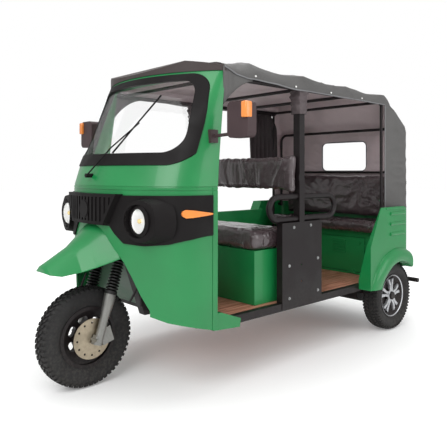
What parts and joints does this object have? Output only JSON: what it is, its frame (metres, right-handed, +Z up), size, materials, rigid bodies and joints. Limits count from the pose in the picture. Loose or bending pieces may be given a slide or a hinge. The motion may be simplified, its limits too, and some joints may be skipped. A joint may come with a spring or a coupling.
{
  "type": "auto rickshaw",
  "caption": "Three-wheeled passenger vehicle with a pressed front cab, sprung steered fork, vinyl canopy on a tube frame, open sides, driver seat and rear bench.",
  "frame": {"origin": "bottom centre of the vehicle's box, on the ground", "axes": "+Z up, -Y towards the front, +X towards the vehicle's left side"},
  "size_m": [1.7, 2.8548, 1.8578],
  "materials": {
    "green_paint": "gloss",
    "black_plastic": "satin",
    "black_steel": "satin",
    "tyre_rubber": "matte",
    "wheel_silver": "gloss",
    "alloy": "satin",
    "disc_steel": "satin",
    "bellows_rubber": "matte",
    "glass": "gloss",
    "lamp_lens": "gloss",
    "amber_lens": "gloss",
    "red_lens": "gloss",
    "seat_vinyl": "satin",
    "canopy_vinyl": "matte",
    "floor_wood": "matte",
    "grey_green_paint": "satin",
    "battery_case": "satin"
  },
  "bodies": {
    "body": {"b_pillar_panels": "black_steel", "battery_pack": "battery_case", "cab_lower_shell": "green_paint", "cab_roof": "green_paint", "cab_upper_shell": "green_paint", "canopy": "canopy_vinyl", "canopy_frame": "black_steel", "canopy_front": "canopy_vinyl", "chassis_frame": "black_steel", "dashboard": "black_plastic", "driver_backrest": "seat_vinyl", "driver_seat_box": "green_paint", "driver_seat_cushion": "seat_vinyl", "floor_board": "floor_wood", "front_mudguard": "green_paint", "grab_hoops": "black_steel", "grille_panel": "black_plastic", "headlamps": "lamp_lens", "leaf_springs": "black_steel", "mirrors": "black_plastic", "quarter_panel_left": "green_paint", "quarter_panel_right": "green_paint", "rear_axle": "black_steel", "rear_backrest": "seat_vinyl", "rear_bumper": "black_steel", "rear_floor_pan": "grey_green_paint", "rear_panel": "green_paint", "rear_seat_base": "green_paint", "rear_seat_cushion": "seat_vinyl", "right_side_panel": "green_paint", "tail_lamps": "red_lens", "turn_lamps": "amber_lens", "wheel_well": "grey_green_paint", "windscreen_frame": "black_plastic", "windscreen_glass": "glass", "wiper": "black_plastic"},
    "steering": {"fork_legs": "alloy", "fork_bellows": "bellows_rubber", "fork_yoke": "black_steel", "handlebar": "black_steel", "brake_caliper": "alloy"},
    "front_wheel": {"front_tyre": "tyre_rubber", "front_rim": "black_steel", "brake_disc": "disc_steel"},
    "rear_wheel_left": {"rear_tyre_left": "tyre_rubber", "rear_rim_left": "wheel_silver"},
    "rear_wheel_right": {"rear_tyre_right": "tyre_rubber", "rear_rim_right": "wheel_silver"},
    "battery_door": {"battery_door": "green_paint"}
  },
  "joints": [
    {"name": "steering", "type": "hinge", "parent": "body", "child": "steering", "pos_m": [0, -0.984, 0.73378], "axis": [0, 0.2924, 0.9563], "range_deg": [-38, 38]},
    {"name": "front_wheel_spin", "type": "hinge", "parent": "steering", "child": "front_wheel", "pos_m": [0, -1.1525, 0.275], "axis": [1, 0, 0], "continuous": true},
    {"name": "rear_wheel_left_spin", "type": "hinge", "parent": "body", "child": "rear_wheel_left", "pos_m": [0.553, 1.0795, 0.252], "axis": [1, 0, 0], "continuous": true},
    {"name": "rear_wheel_right_spin", "type": "hinge", "parent": "body", "child": "rear_wheel_right", "pos_m": [-0.553, 1.0795, 0.252], "axis": [1, 0, 0], "continuous": true},
    {"name": "battery_door_hinge", "type": "hinge", "parent": "body", "child": "battery_door", "pos_m": [0, 1.0235, 0.392], "axis": [1, 0, 0], "range_deg": [0, 85]}
  ]
}
